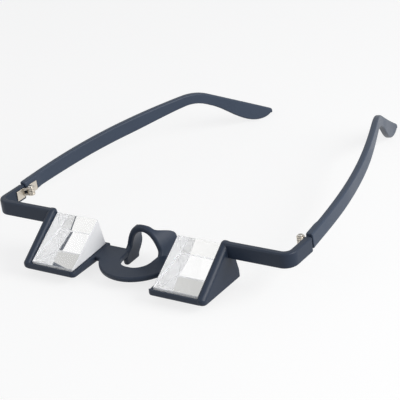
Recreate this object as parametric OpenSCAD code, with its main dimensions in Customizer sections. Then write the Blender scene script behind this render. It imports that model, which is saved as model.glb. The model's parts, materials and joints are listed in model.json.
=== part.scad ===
// Belay glasses: a moulded front that holds two mirror prisms, with two folding temples.
// The wearer looks along -Y and the temples run back along +Y. The part stands on its
// nose pads and temple tips, with the origin under the middle of its bounding box.
// The shapes are worked out from the hinge line (y = 0) and the top of the bars (z = 0).

/* [Front bars] */
// Half width over the end pieces
half_width = 68; // [66:0.5:71]
// Height of the bars and end pieces
bar_height = 6; // [5.6:0.1:6.6]
// Thickness of the bars and end pieces
bar_thickness = 2.7; // [2.4:0.1:3]
// Front of the bars ahead of the hinge line
bar_reach = 15.5; // [15:0.1:16.5]
// Outer corner radius between a bar and its end piece
bar_corner = 5; // [4:0.1:6]
// Edge rounding of the moulded front
edge_round = 0.7; // [0.5:0.05:0.8]

/* [Prisms] */
// Width of each prism
prism_width = 20; // [18:0.1:21]
// Distance from the mid-plane to each prism
prism_inset = 18.4; // [18:0.1:19.5]
// Length of the silvered floor face
prism_floor = 22.2; // [20.5:0.1:23.5]
// Height of the face towards the eye
prism_back = 11.6; // [11:0.1:12.4]
// Angle between the floor and the face towards the eye
prism_angle = 83; // [81:0.5:86]
// Slope of the prism floor, down to the front
floor_slope = 3.4; // [2.5:0.1:4]
// Rear floor edge of the prisms ahead of the hinge line
prism_reach = 10.8; // [10.4:0.1:11.4]
// Rear floor edge of the prisms below the top of the bars
prism_sink = 12.9; // [12.4:0.1:13.4]
// Bevel of the glass edges
prism_bevel = 0.3; // [0.15:0.05:0.4]
// Thickness of the silver coat with its backing
coat_thickness = 0.3; // [0.2:0.05:0.4]
// Margin of bare glass round the coat
coat_margin = 0.8; // [0.5:0.1:1.5]

/* [Cradles] */
// Thickness of the cheek plate outside each prism
cheek_thickness = 3.3; // [2.8:0.1:3.6]
// Top of the cheeks above the top of the bars
cheek_rise = 0.1; // [0.1:0.05:0.4]
// Top of the cheeks' sloping edge behind the front of the bars
cheek_setback = 0.6; // [0.4:0.1:1]
// Plastic behind the rear floor edge of the prisms
cradle_back = 1.1; // [0.8:0.1:1.4]
// Underside of the cradles below the top of the bars
cradle_sink = 16.4; // [16.2:0.1:17]
// How far the cheek stands proud of the cradle all round
cheek_proud = 0.15; // [0.1:0.05:0.3]
// Ledge on the nose side of each prism
rail_width = 1.3; // [1:0.1:1.6]
// Corner radius where the lip turns into that ledge
rail_corner = 1.8; // [1.2:0.1:2.2]
// Thickness of the lip ahead of each prism
lip_thickness = 0.85; // [0.8:0.05:1.2]
// Top of the lip above the front floor edge of the prism
lip_rise = 0.7; // [0.5:0.05:1]

/* [Bridge plate] */
// Radius of the round front of the bridge plate
plate_radius = 16.7; // [16:0.1:17.4]
// Centre of that round ahead of the hinge line
plate_centre = 12.8; // [12.2:0.1:13.4]
// Thickness of the bridge plate
plate_thickness = 2.1; // [1.8:0.1:2.6]
// Top of the bridge plate below the cradle floors
plate_step = 0.12; // [0.1:0.02:0.3]
// Front edge of the necks ahead of the hinge line
neck_reach = 20.2; // [19:0.1:20.8]
// Fillet where a neck meets the round front
neck_fillet = 0.9; // [0.8:0.1:1.1]
// Half width of the nose opening
nose_half = 6.5; // [6.2:0.1:6.8]
// Front end of the nose opening ahead of the hinge line
nose_reach = 21.8; // [21:0.1:23]

/* [Nose saddle] */
// Top of the nose arch below the top of the bars, measured inside
arch_sink = 5; // [4.6:0.1:5.6]
// Half width of the arch shoulder
arch_shoulder = 4.3; // [3.9:0.1:4.7]
// Thickness of the arch at its top
arch_thickness = 2.8; // [2.4:0.1:3.2]
// Thickness of the nose pads
pad_thickness = 2.3; // [2.1:0.1:2.7]
// Front face of the arch ahead of the hinge line
arch_reach = 11; // [10.8:0.1:11.4]
// Depth of the arch at its top, front to back
arch_depth = 2; // [1.6:0.1:2.8]
// Rear edge of the nose pads ahead of the hinge line
pad_reach = 1.6; // [1:0.1:3]
// How far the rear edges of the pads lean outwards
pad_flare = 2; // [1:0.1:2.4]
// How much of that lean is left at the lower end of the pads
pad_flare_end = 0.3; // [0.1:0.1:0.8]
// Front edge of the lower pads ahead of the arch
pad_fore = 3.1; // [2.6:0.1:4]
// Underside of the pads below the top of the bars
pad_sink = 19.1; // [18.6:0.1:19.6]

/* [Temples] */
// Length from the hinge line to the ear bend
ear_start = 87.5; // [80:0.5:92]
// Radius of the ear bend
ear_radius = 24; // [18:0.5:32]
// Angle of the ear bend
ear_angle = 30.5; // [26:0.5:34]
// Length of the straight tip behind the ear bend
tip_length = 36.5; // [34:0.1:44]
// How far the tips come in towards each other
temple_tuck = 35.4; // [28:0.2:38]
// Top of the temple root above the top of the bars
root_rise = 0.85; // [0.3:0.05:1]
// Climb of the temple from its root to the ear bend
temple_climb = 4.35; // [3.5:0.05:5]
// Height of the temple at its root
root_height = 6; // [5.6:0.1:6.4]
// Height of the arm where it is deepest
arm_height = 6.3; // [5.8:0.1:6.6]
// Height of the waist at the ear bend
waist_height = 4.6; // [3.8:0.1:5.2]
// Height of the paddle at the tip
paddle_height = 7.1; // [6.4:0.1:8]
// Thickness of the temple at its root
root_thickness = 2.9; // [2.7:0.1:3.2]
// Thickness of the arm and the tip
arm_thickness = 2.5; // [2.1:0.1:2.6]
// Edge rounding of the temples
temple_edge = 0.7; // [0.4:0.05:0.9]

/* [Hinges] */
// Distance of the hinge axis inside the outer face
hinge_inset = 5.2; // [5:0.05:5.4]
// Hinge axis behind the hinge line
hinge_back = 0.3; // [0.2:0.05:0.5]
// Diameter of the hinge barrel
barrel_d = 3; // [2.8:0.05:3.1]
// Height of the hinge barrel
barrel_height = 3.3; // [3:0.1:3.6]
// Top of the hinge barrel below the top of the bars
barrel_sink = 0.8; // [0.7:0.05:1]
// Height of the middle knuckle
knuckle_height = 1.3; // [1.1:0.05:1.5]
// Diameter of the hinge screw
screw_d = 1.2; // [1:0.05:1.3]
// Diameter of the screw head
screw_head_d = 2.1; // [1.8:0.05:2.4]
// Height of the screw head
screw_head_h = 0.5; // [0.4:0.05:0.6]
// Length of the hinge plates
leaf_length = 4.3; // [4:0.1:4.6]
// Height of the hinge plates
leaf_height = 4; // [3.8:0.1:4.2]
// Thickness of the hinge plates
leaf_thickness = 0.8; // [0.7:0.05:0.9]
// How deep the plates are let into the plastic
leaf_inlay = 0.35; // [0.3:0.05:0.45]

/* [Fits] */
// Gap between an end piece and its temple
parting_gap = 0.3; // [0.2:0.02:0.4]
// Clearance round each seated piece
seat_gap = 0.05; // [0.03:0.01:0.08]
// Radial running clearance of the hinge screw
screw_gap = 0.05; // [0.02:0.01:0.08]
// Clearance between the knuckles
knuckle_gap = 0.05; // [0.03:0.01:0.1]

/* [Hidden] */

navy = [0.17, 0.20, 0.26];
glass = [0.85, 0.90, 0.93, 0.6];
silver = [0.78, 0.79, 0.80];
nickel = [0.72, 0.68, 0.62];

// Glass section in the side view, as [y, z]
floor_dir = [-cos(floor_slope), -sin(floor_slope)];
prism_rear = [-prism_reach, -prism_sink];
prism_front = prism_rear + prism_floor * floor_dir;
back_turn = 180 + floor_slope - prism_angle;
prism_top = prism_rear + prism_back * [cos(back_turn), sin(back_turn)];
prism_outer = prism_inset + prism_width;

// Cradle outlines
cheek_inner = prism_outer + seat_gap;
cheek_outer = cheek_inner + cheek_thickness;
lip_front = prism_front.x - seat_gap - lip_thickness;
lip_top = prism_front.y + lip_rise;
cradle_rear = cradle_back - prism_reach;
rail_inner = prism_inset - rail_width;
lip_round = 0.42;
corner_air = 0.05;

// Arch, pads and temples: stations and section detail
plate_edge = 0.8;
disc_start = 22;
arch_stations = 22;
section_steps = 3;
bar_turns = 7;
temple_stations = 46;
tip_round = 13;
tip_top_round = 1;
root_end = 7;
arm_start = 30;
arm_end = 58;
waist_start = ear_start + 8.5;
waist_end = ear_start + 15;
tuck_early = 0.06;
tuck_middle = 0.16;
tuck_late = 0.78;

// Hinge places for the wearer's left side
hinge_x = half_width - hinge_inset;
leaf_gap = 1.7;
tang_size = 1.3;
tang_height = 2.2;
tang_taper = 0.2;
leaf_bottom = -barrel_sink - leaf_height;
barrel_bottom = -barrel_sink - barrel_height;

function unit(v) = v / norm(v);
function ease(t) = t <= 0 ? 0 : t >= 1 ? 1 : (1 - cos(180 * t)) / 2;
function mix(a, b, t) = a + (b - a) * t;
function along(table, t, i = 0) =
    t <= table[i][0] ? table[i][1]
    : i + 1 == len(table) ? table[i][1]
    : t <= table[i + 1][0]
        ? mix(table[i][1], table[i + 1][1], ease((t - table[i][0]) / (table[i + 1][0] - table[i][0])))
    : along(table, t, i + 1);

// One rounded corner of a counter-clockwise outline of [x, y, radius], moved in by d
function corner(c, i, d, steps) =
    let (
        b = [c[i].x, c[i].y],
        a = [for (k = [0:1]) c[(i + len(c) - 1) % len(c)][k]],
        e = [for (k = [0:1]) c[(i + 1) % len(c)][k]],
        u = unit(a - b),
        v = unit(e - b),
        turn = cross(b - a, e - b) > 0 ? 1 : -1,
        half = acos(u * v) / 2,
        centre = b + unit(u + v) * c[i].z / sin(half),
        first = atan2(-turn * (b.x - a.x), turn * (b.y - a.y))
    )
    [
        for (k = [0:steps])
            let (at = first + turn * (180 - 2 * half) * k / steps)
            centre + (c[i].z - turn * d) * [cos(at), sin(at)]
    ];
function outline(c, d = 0, steps = 4) =
    [for (i = [0:len(c) - 1]) each corner(c, i, d, c[i].z > 5 ? 4 * steps : steps)];

// Insets and heights that round both edges of a plate
function plate_levels(h, r, steps = 3) = [
    for (k = [0:steps]) [r * (1 - sin(90 * k / steps)), r * (1 - cos(90 * k / steps))],
    for (k = [0:steps]) [r * (1 - cos(90 * k / steps)), h - r * (1 - sin(90 * k / steps))]
];

// Solid through a stack of closed rings with equal counts
module skin(rings) {
    n = len(rings[0]);
    last = (len(rings) - 1) * n;
    faces = [
        [for (i = [0:n - 1]) i],
        [for (i = [n - 1:-1:0]) last + i],
        for (k = [0:len(rings) - 2])
            for (i = [0:n - 1])
                each [
                    [k * n + i, (k + 1) * n + i, (k + 1) * n + (i + 1) % n],
                    [k * n + i, (k + 1) * n + (i + 1) % n, k * n + (i + 1) % n]
                ]
    ];
    polyhedron([for (r = rings) each r], faces, convexity = 6);
}

module rounded_plate(c, h, r) {
    skin([for (l = plate_levels(h, r)) [for (p = outline(c, l[0])) [p.x, p.y, l[1]]]]);
}

function box_corners(w, h, r) = [
    [-w / 2, -h / 2, r],
    [w / 2, -h / 2, r],
    [w / 2, h / 2, r],
    [-w / 2, h / 2, r]
];
function place(ring, at, u, v) = [for (p = ring) at + p.x * u + p.y * v];

// Bar and end piece of the wearer's left side
bar_mid = bar_thickness / 2;
bend_centre = [half_width - bar_corner, bar_corner - bar_reach];
function bar_section(w = 0) =
    outline(box_corners(bar_thickness, bar_height, edge_round + 0.05), w, section_steps);
function bar_ring(at, heading, d = 0) =
    place(
        bar_section(d),
        [at.x, at.y, -bar_height / 2],
        [-sin(heading), cos(heading), 0],
        [0, 0, 1]
    );
function bend_ring(k) =
    let (a = 90 * k / bar_turns)
    bar_ring(bend_centre + (bar_corner - bar_mid) * [sin(a), -cos(a)], a);
function end_ring(k) =
    let (inset = edge_round * [1 - cos(30 * k), sin(30 * k) - 1])
    bar_ring([half_width - bar_mid, inset.y - parting_gap / 2], 90, inset.x);
module bar() {
    hull() skin([bar_ring([cheek_outer - edge_round, bar_mid - bar_reach], 0), bend_ring(0)]);
    skin([for (k = [0:bar_turns]) bend_ring(k)]);
    hull() skin([bend_ring(bar_turns), for (k = [0:3]) end_ring(k)]);
}

// Cheek plate outside a prism, drawn in the side view
module cheek() {
    rear = cradle_rear + cheek_proud;
    rear_top = bar_thickness - bar_reach + cheek_proud;
    front = lip_front - cheek_proud;
    corners = [
        [front, -cradle_sink, 1.9],
        [rear, -cradle_sink, 1],
        [rear, -prism_sink, 6],
        [rear_top, cheek_rise, edge_round + 0.1],
        [cheek_setback - bar_reach, cheek_rise, 2],
        [front, lip_top + cheek_proud, 1.4]
    ];
    translate([cheek_inner, 0, 0]) rotate([90, 0, 90])
        hull() rounded_plate(corners, cheek_thickness, edge_round);
}

// Cradle floor with its lip, drawn in the side view, and the shallow seat of the coat
module cradle() {
    floor_at = function (y) prism_rear.y + (y - prism_rear.x) * tan(floor_slope);
    lip_back = lip_front + lip_thickness;
    underside = cheek_proud - cradle_sink;
    corners = [
        [lip_front, underside, 1.9],
        [cradle_rear, underside, 0.8],
        [cradle_rear, floor_at(cradle_rear), 0.6],
        [lip_back, floor_at(lip_back), 0.1],
        [lip_back, lip_top, lip_round],
        [lip_front, lip_top, lip_round]
    ];
    far = cheek_inner + 1;
    near = rail_inner - corner_air;
    ahead = lip_front - corner_air;
    plan = [
        [near, ahead, rail_corner],
        [far + 1, ahead, 0.1],
        [far + 1, 0, 0.1],
        [near, 0, 0.1]
    ];
    difference() {
        intersection() {
            translate([rail_inner, 0, 0]) rotate([90, 0, 90])
                rounded_plate(corners, far - rail_inner, lip_round - 0.02);
            translate([0, 0, -cradle_sink - 1]) linear_extrude(cradle_sink) polygon(outline(plan));
        }
        on_floor(seat_gap) cube([coat_w + 2 * seat_gap, coat_l + 2 * seat_gap, 3]);
    }
}

// Coat sizes and its place under the glass floor
coat_w = prism_width - 2 * coat_margin;
coat_l = prism_floor - 2 * coat_margin;
module on_floor(gap) {
    translate([prism_inset + coat_margin - gap, prism_rear.x, prism_rear.y])
        rotate([floor_slope, 0, 0])
            translate([0, -coat_margin - coat_l - gap, -coat_thickness - gap])
                children();
}

// Thin plate between the cradles, with its round front and the nose opening
module bridge_plate() {
    disc_edge = plate_radius * [cos(disc_start), -sin(disc_start)] - [0, plate_centre];
    neck_in = disc_edge.x + (-neck_reach - disc_edge.y) * tan(disc_start);
    neck_out = rail_inner + 1.2;
    e = plate_edge + 0.05;
    rear = -arch_reach + 0.4;
    corners = [
        [-neck_out, -neck_reach, e],
        [-neck_in, -neck_reach, neck_fillet],
        [0, -plate_centre - plate_radius / sin(disc_start), plate_radius],
        [neck_in, -neck_reach, neck_fillet],
        [neck_out, -neck_reach, e],
        [neck_out, rear, e],
        [nose_half, rear, e],
        [nose_half, -nose_reach, nose_half - 0.1],
        [-nose_half, -nose_reach, nose_half - 0.1],
        [-nose_half, rear, e],
        [-neck_out, rear, e]
    ];
    translate([0, prism_rear.x, prism_rear.y])
        rotate([floor_slope, 0, 0])
            translate([0, prism_reach, -plate_thickness - plate_step])
                rounded_plate(corners, plate_thickness, plate_edge);
}

// Nose arch and pads: one band swept along a bow, from the left pad over to the right
function bow(t) =
    pow(1 - t, 3) * [0, -arch_sink]
    + 3 * pow(1 - t, 2) * t * [arch_shoulder, -arch_sink]
    + 3 * (1 - t) * t * t * [nose_half, -prism_sink + 1.9]
    + pow(t, 3) * [nose_half + 0.5, -pad_sink + edge_round];
function bow_out(t) =
    let (d = bow(min(t + 0.01, 1)) - bow(max(t - 0.01, 0)))
    unit([-d.y, d.x]);
band_front = [
    [0, arch_reach],
    [0.66, arch_reach],
    [0.9, arch_reach + pad_fore],
    [1, arch_reach + pad_fore - 0.6]
];
band_rear = [
    [0, arch_reach - arch_depth],
    [0.2, arch_reach - arch_depth - 0.6],
    [0.56, pad_reach],
    [0.7, pad_reach + 0.1],
    [1, pad_reach + 5]
];
band_flare = [[0.2, 0], [0.55, pad_flare], [0.9, pad_flare_end]];
function band_ring(t, d = 0) =
    let (
        front = -along(band_front, t) + d,
        rear = -along(band_rear, t) - d,
        w = mix(arch_thickness, pad_thickness, ease(1.6 * t)) - 2 * d,
        flare = along(band_flare, t),
        p = bow(t),
        o = bow_out(t),
        section = outline(box_corners(rear - front, w, min(w / 2 - 0.05, 0.95)), 0, section_steps)
    )
    [
        for (s = section)
            let (
                q = 0.5 + s.x / (rear - front),
                away = s.y + w / 2 + d + flare * q * q
            )
            [p.x + o.x * away, (front + rear) / 2 + s.x, p.y + o.y * away]
    ];
function mirrored(ring) = [for (p = ring) [-p.x, p.y, p.z]];
function lowered(ring, z) = [for (p = ring) [p.x, p.y, p.z - z]];
pad_end = [
    for (k = [1:3])
        let (a = 30 * k)
        lowered(band_ring(1, edge_round * (1 - cos(a))), edge_round * sin(a))
];
saddle_half = concat([for (k = [0:arch_stations]) band_ring(k / arch_stations)], pad_end);
module saddle() {
    count = len(saddle_half);
    skin([
        for (k = [count - 1:-1:1]) mirrored(saddle_half[k]),
        for (r = saddle_half) r
    ]);
}

// Temple of the wearer's left side, swept along its outer top edge
ear_length = ear_radius * ear_angle * PI / 180;
temple_length = ear_start + ear_length + tip_length;
ear_end = [
    ear_start + ear_radius * sin(ear_angle),
    root_rise + temple_climb - ear_radius * (1 - cos(ear_angle))
];
temple_back = ear_end.x + tip_length * cos(ear_angle);
// Side view of that edge at the length s, as [y, z]
function side_path(s) =
    s <= ear_start
        ? [s, root_rise + temple_climb * (1 - pow(1 - max(s, 0) / ear_start, 1.5))]
    : s <= ear_start + ear_length
        ? let (a = (s - ear_start) * 180 / (PI * ear_radius))
            [ear_start + ear_radius * sin(a), root_rise + temple_climb - ear_radius * (1 - cos(a))]
    : ear_end + (s - ear_start - ear_length) * [cos(ear_angle), -sin(ear_angle)];
// Plan view of that edge: how far it comes in at the share t of its reach
function tuck(t) =
    temple_tuck
    * (tuck_early * 4 * pow(1 - t, 3) * t
        + tuck_middle * 6 * pow(1 - t, 2) * t * t
        + tuck_late * 4 * (1 - t) * pow(t, 3)
        + pow(t, 4));
function temple_edge_at(s) =
    let (p = side_path(s))
    [half_width - tuck(max(p.x, 0) / temple_back), p.x, p.y];
heights = [
    [0, root_height],
    [arm_start, arm_height],
    [arm_end, arm_height],
    [waist_start, waist_height],
    [waist_end, waist_height],
    [temple_length - tip_round, paddle_height]
];
thicknesses = [[root_end, root_thickness], [root_end + 2, arm_thickness]];
// Share of the height left near the rounded end of the tip
function end_share(s, r) =
    let (left = (temple_length - s) / r)
    left >= 1 ? 1 : sqrt(max(0, 1 - pow(1 - left, 2)));
function temple_ring(s, d = 0) =
    let (
        t = unit(temple_edge_at(s + 0.5) - temple_edge_at(s - 0.5)),
        v = unit([0, 0, 1] - t.z * t),
        u = cross(v, t),
        full = along(heights, s),
        h = max(full * end_share(s, tip_round), 2 * tip_top_round) - 2 * d,
        top_in = tip_top_round * (1 - end_share(s, tip_top_round)),
        w = along(thicknesses, s) - 2 * d
    )
    place(
        outline(box_corners(w, h - top_in, min(temple_edge, w / 2 - 0.1)), 0, section_steps),
        temple_edge_at(s) + u * (w / 2 + d) - v * ((h + top_in) / 2 + d),
        u,
        v
    );
function temple_stop(k) =
    let (share = k / temple_stations)
    share < 0.85
        ? mix(0, temple_length - tip_round, share / 0.85)
        : temple_length - tip_round + tip_round * sin(90 * (share - 0.85) / 0.15);
function moved_back(ring, y) = [for (p = ring) [p.x, p.y + y, p.z]];
temple_rings = [
    for (k = [0:2])
        moved_back(temple_ring(0, 0.4 * (1 - sin(30 * k))), parting_gap / 2 + 0.4 * (1 - cos(30 * k))),
    for (k = [1:temple_stations]) temple_ring(max(temple_stop(k), 1)),
];

// Hinge plates are drawn with the barrel axis at the origin, the front leaf towards -Y
leaf_face = half_width - bar_thickness - hinge_x;
module leaf_plate(face) {
    translate([face - leaf_thickness + leaf_inlay, leaf_gap, leaf_bottom])
        cube([leaf_thickness, leaf_length, leaf_height]);
    tang(face, 0);
}
// Tapered tang that anchors a plate in the plastic, grown by g
module tang(face, g) {
    w = tang_size + 2 * g;
    h = tang_height + 2 * g;
    t = 2 * tang_taper;
    translate([face, leaf_gap + leaf_length / 2, leaf_bottom + leaf_height / 2]) hull() {
        translate([0, -w / 2, -h / 2]) cube([0.1, w, h]);
        translate([0, (t - w) / 2, (t - h) / 2]) cube([tang_size + g, w - t, h - t]);
    }
}
module leaf_seat(face) {
    g = seat_gap;
    translate([face - leaf_thickness + leaf_inlay, leaf_gap - g, leaf_bottom - g])
        cube([leaf_thickness + g, leaf_length + 2 * g, leaf_height + 2 * g]);
    tang(face, g);
}
module knuckle(face, z, h) {
    arm = [face - leaf_thickness / 2, leaf_gap + 0.4];
    difference() {
        union() {
            translate([0, 0, z]) cylinder(d = barrel_d, h = h, $fn = 64);
            translate([0, 0, z]) rotate([0, 0, atan2(arm.y, arm.x)]) translate([0, -0.45, 0])
                cube([norm(arm), 0.9, h]);
        }
        translate([0, 0, z - 1]) cylinder(d = screw_d + 2 * screw_gap, h = h + 2, $fn = 48);
    }
}
side_knuckle = (barrel_height - knuckle_height) / 2 - knuckle_gap;
module front_leaf() {
    mirror([0, 1, 0]) {
        leaf_plate(leaf_face);
        knuckle(leaf_face, barrel_bottom, side_knuckle);
        knuckle(leaf_face, -barrel_sink - side_knuckle, side_knuckle);
    }
}
temple_face = half_width - root_thickness - hinge_x;
module temple_leaf() {
    leaf_plate(temple_face);
    knuckle(temple_face, barrel_bottom + (barrel_height - knuckle_height) / 2, knuckle_height);
}
module hinge_screw() {
    difference() {
        union() {
            translate([0, 0, barrel_bottom]) cylinder(d = screw_d, h = barrel_height, $fn = 48);
            translate([0, 0, -barrel_sink]) cylinder(d = screw_head_d, h = screw_head_h, $fn = 48);
        }
        translate([-2, -0.15, screw_head_h - barrel_sink - 0.25]) cube([4, 0.3, 1]);
    }
}

// Seats the part: the lowest points on z = 0, the bounding box centred in y
low_point = min([
    for (r = concat(temple_rings, saddle_half)) for (p = r) p.z
]);
far_back = max([for (r = temple_rings) for (p = r) p.y]);
module seated() {
    translate([0, -(far_back + lip_front - cheek_proud) / 2, -low_point]) children();
}
module side(s) {
    seated() if (s > 0) children(); else mirror([1, 0, 0]) children();
}
module at_hinge() {
    translate([hinge_x, hinge_back, 0]) children();
}

module front_half() {
    difference() {
        union() {
            bar();
            cheek();
            cradle();
        }
        at_hinge() mirror([0, 1, 0]) leaf_seat(leaf_face);
    }
}
module front_frame() {
    color(navy) seated() {
        front_half();
        mirror([1, 0, 0]) front_half();
        bridge_plate();
        saddle();
    }
}
module prism(s) {
    section = [
        [prism_front.x, prism_front.y, 0.4],
        [prism_rear.x, prism_rear.y, 0.4],
        [prism_top.x, prism_top.y, 0.4]
    ];
    b = prism_bevel;
    color(glass) side(s) translate([prism_inset, 0, 0]) rotate([90, 0, 90]) hull() {
        translate([0, 0, b]) linear_extrude(prism_width - 2 * b) polygon(outline(section, 0, 1));
        linear_extrude(prism_width) polygon(outline(section, b, 1));
    }
}
module mirror_coat(s) {
    color(silver) side(s) on_floor(0) cube([coat_w, coat_l, coat_thickness]);
}
module hinge_front_leaf(s) {
    color(nickel) side(s) at_hinge() front_leaf();
}
module hinge_temple_leaf(s) {
    color(nickel) side(s) at_hinge() temple_leaf();
}
module hinge_screw_at(s) {
    color(nickel) side(s) at_hinge() hinge_screw();
}
module temple(s) {
    color(navy) side(s) difference() {
        skin(temple_rings);
        at_hinge() leaf_seat(temple_face);
    }
}

front_frame();
prism(1);  // prism_left
prism(-1);  // prism_right
mirror_coat(1);  // mirror_coat_left
mirror_coat(-1);  // mirror_coat_right
hinge_front_leaf(1);  // hinge_front_leaf_left
hinge_front_leaf(-1);  // hinge_front_leaf_right
hinge_temple_leaf(1);  // hinge_temple_leaf_left
hinge_temple_leaf(-1);  // hinge_temple_leaf_right
hinge_screw_at(1);  // hinge_screw_left
hinge_screw_at(-1);  // hinge_screw_right
temple(1);  // temple_left
temple(-1);  // temple_right
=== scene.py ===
"""Belay glasses: a dark blue moulded front with two mirror prisms, and folding temples.

Places are given in millimetres from the parting line between the front and the temples
and from the top of the bars, and at() turns them into metres in the frame.
+X is the wearer's left, -Y is ahead of the wearer and +Z is up. A length is in
millimetres unless its comment says otherwise.
"""

import json
import math

import bmesh
import bpy
from mathutils import Matrix, Vector


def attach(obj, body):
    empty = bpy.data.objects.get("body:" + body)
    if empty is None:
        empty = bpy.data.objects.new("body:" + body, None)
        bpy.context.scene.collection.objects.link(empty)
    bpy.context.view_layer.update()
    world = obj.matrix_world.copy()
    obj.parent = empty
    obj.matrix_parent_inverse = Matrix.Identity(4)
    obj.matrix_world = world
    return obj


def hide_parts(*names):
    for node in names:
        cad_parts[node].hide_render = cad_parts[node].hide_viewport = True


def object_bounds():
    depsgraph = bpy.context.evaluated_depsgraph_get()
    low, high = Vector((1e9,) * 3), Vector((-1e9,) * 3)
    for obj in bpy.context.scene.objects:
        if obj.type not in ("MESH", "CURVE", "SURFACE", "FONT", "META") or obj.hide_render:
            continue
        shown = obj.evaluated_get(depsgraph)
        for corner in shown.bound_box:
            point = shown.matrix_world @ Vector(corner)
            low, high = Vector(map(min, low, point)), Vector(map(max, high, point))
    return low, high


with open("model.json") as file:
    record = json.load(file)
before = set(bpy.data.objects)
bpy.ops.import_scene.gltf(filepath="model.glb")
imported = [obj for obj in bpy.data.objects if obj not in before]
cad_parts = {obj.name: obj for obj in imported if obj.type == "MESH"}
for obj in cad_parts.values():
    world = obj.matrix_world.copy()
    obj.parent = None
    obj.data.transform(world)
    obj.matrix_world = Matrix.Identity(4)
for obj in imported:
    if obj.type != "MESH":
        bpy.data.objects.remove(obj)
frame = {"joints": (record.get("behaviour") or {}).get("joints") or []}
cad_low, cad_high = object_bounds()

MM = 0.001
SNAP = 1e-7  # metres: how near a cut a point has to lie to be on it
SLIVER = 0.000012  # metres: points nearer than this are welded
ON_TOP = 1e-6  # metres: how near a level a point has to lie to be on it
SPARE = 1.0  # how far a tool block stands out past what it cuts
LEAST_CORNER = 0.15  # the least radius that an outline's corner keeps
RIM_DEGREES = 15  # between the rings of a rounded rim
SMOOTH_ANGLE = math.radians(35)

# Front moulding
HALF_WIDTH = 68.0
BAR_HEIGHT = 6.0
BAR_THICKNESS = 2.7
BAR_REACH = 15.5
BAR_CORNER = 5.0
EDGE = 0.7  # the rounding of the moulding's rims
PARTING = 0.3  # between the end piece and the temple
BEND_STEPS = 14

# Prisms and the floor that they stand on
PRISM_INSET = 18.4  # from the middle to the prism's inner side
PRISM_WIDTH = 20.0
PRISM_FLOOR = 22.2  # length of the silvered face
PRISM_BACK = 11.6  # length of the rear face, upwards
PRISM_ANGLE = math.radians(83)  # between these two faces
FLOOR_SLOPE = math.radians(3.4)
PRISM_REAR = Vector((0.0, -10.8, -12.9))  # where they meet
PRISM_BEVEL = 0.3
PRISM_TIP = 1.15  # how far the sharp front edge is ground back
POLISHED_AREA = 60.0  # square millimetres: a smaller face is a ground bevel
COAT_MARGIN = 0.35
COAT_THICKNESS = 0.3
COAT_AIR = 0.02  # between the glass and the coat
SEAT = 0.05  # clearance round the glass, the coat and the hinge plates
BED_HEIGHT = 0.6  # reaches past the cradle's top
COAT_BED_HEIGHT = 0.3

# Cheeks, cradles and bridge
CHEEK_THICKNESS = 3.3
CHEEK_RISE = 0.1  # above the top of the bar
CHEEK_PROUD = 0.145  # how far it stands out past the cradle, the lip and the bar
CHEEK_SETBACK = 0.6  # of its top behind the front of the bar
CHEEK_INNER_ROUND = 1.3
CHEEK_OUTER_ROUND = 1.9
CHEEK_OUTER_BACK = 2.2  # how far its front edges lie back at the outer face
CHEEK_TOP_BACK = 0.5  # how far its top lies lower there
BAR_START = 1.75  # from the cheek's inner face
CRADLE_SINK = 16.4  # from the bar tops down to the cheek's underside
CRADLE_BACK = 1.1  # behind the rear edge of the prism
CRADLE_BITE = 1.0  # how far the cradle runs into the cheek
RAIL = 1.3  # width of the cradle beside the prism
RAIL_CORNER = 1.8
LIP_UNDER_ROUND = 1.5
RIM = 0.35
LIP_STEP = 0.06  # how far the lip stands in from the cradle's outline
LIP_OVERLAP = 0.02  # how far it runs past the front of the glass bed
LIP_THICKNESS = 0.85
LIP_RISE = 0.7  # above the front edge of the prism's floor
LIP_ROOT = 1.0  # how deep it runs into the cradle
PLATE_RADIUS = 16.7
PLATE_CENTRE = 12.8
PLATE_THICKNESS = 2.1
PLATE_STEP = 0.12  # of the plate's top below the prism's floor
PLATE_RIM = 0.78
PLATE_BITE = 0.4  # how far the plate runs into the arch
SLOT_RIM = 0.4
SLOT_FLAT = 0.4  # half of the flat at the slot's closed end
SHARP_CORNER = 0.1  # the radius of a corner that gets buried or cut off
NECK_ANGLE = math.radians(22)
NECK_REACH = 20.2
NECK_FILLET = 0.9
NECK_BITE = 1.2  # how far a neck runs into the cradle
NOSE_HALF = 6.5
NOSE_REACH = 21.8
SLOT_TAPER = 0.3  # wider at the open end and narrower at the closed end

# Nose saddle
ARCH_SINK = 5.0
ARCH_SHOULDER = 4.3  # the longer, the squarer the arch's top
ARCH_THICKNESS = 2.8
ARCH_REACH = 11.0
ARCH_DEPTH = 2.0
ARCH_THINNING = 1.6  # the band is as thin as the pad from 1 / 1.6 of the bow on
BAND_CORNER = 0.95
PAD_THICKNESS = 2.3
PAD_REACH = 1.6  # how far ahead of the parting line a pad's rear edge lies
PAD_FORE = 3.1  # how far its front edge leads the arch
PAD_FLARE = 2.0
PAD_FLARE_END = 0.3
PAD_SINK = 19.1
PAD_LIFT = 0.041  # of the pads' lowest points above PAD_SINK
PAD_KNEE = 1.9  # above the rear edge of the prism
PAD_SPREAD = 0.5  # how far a pad ends outside the slot
SADDLE_STEPS = 40

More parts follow.
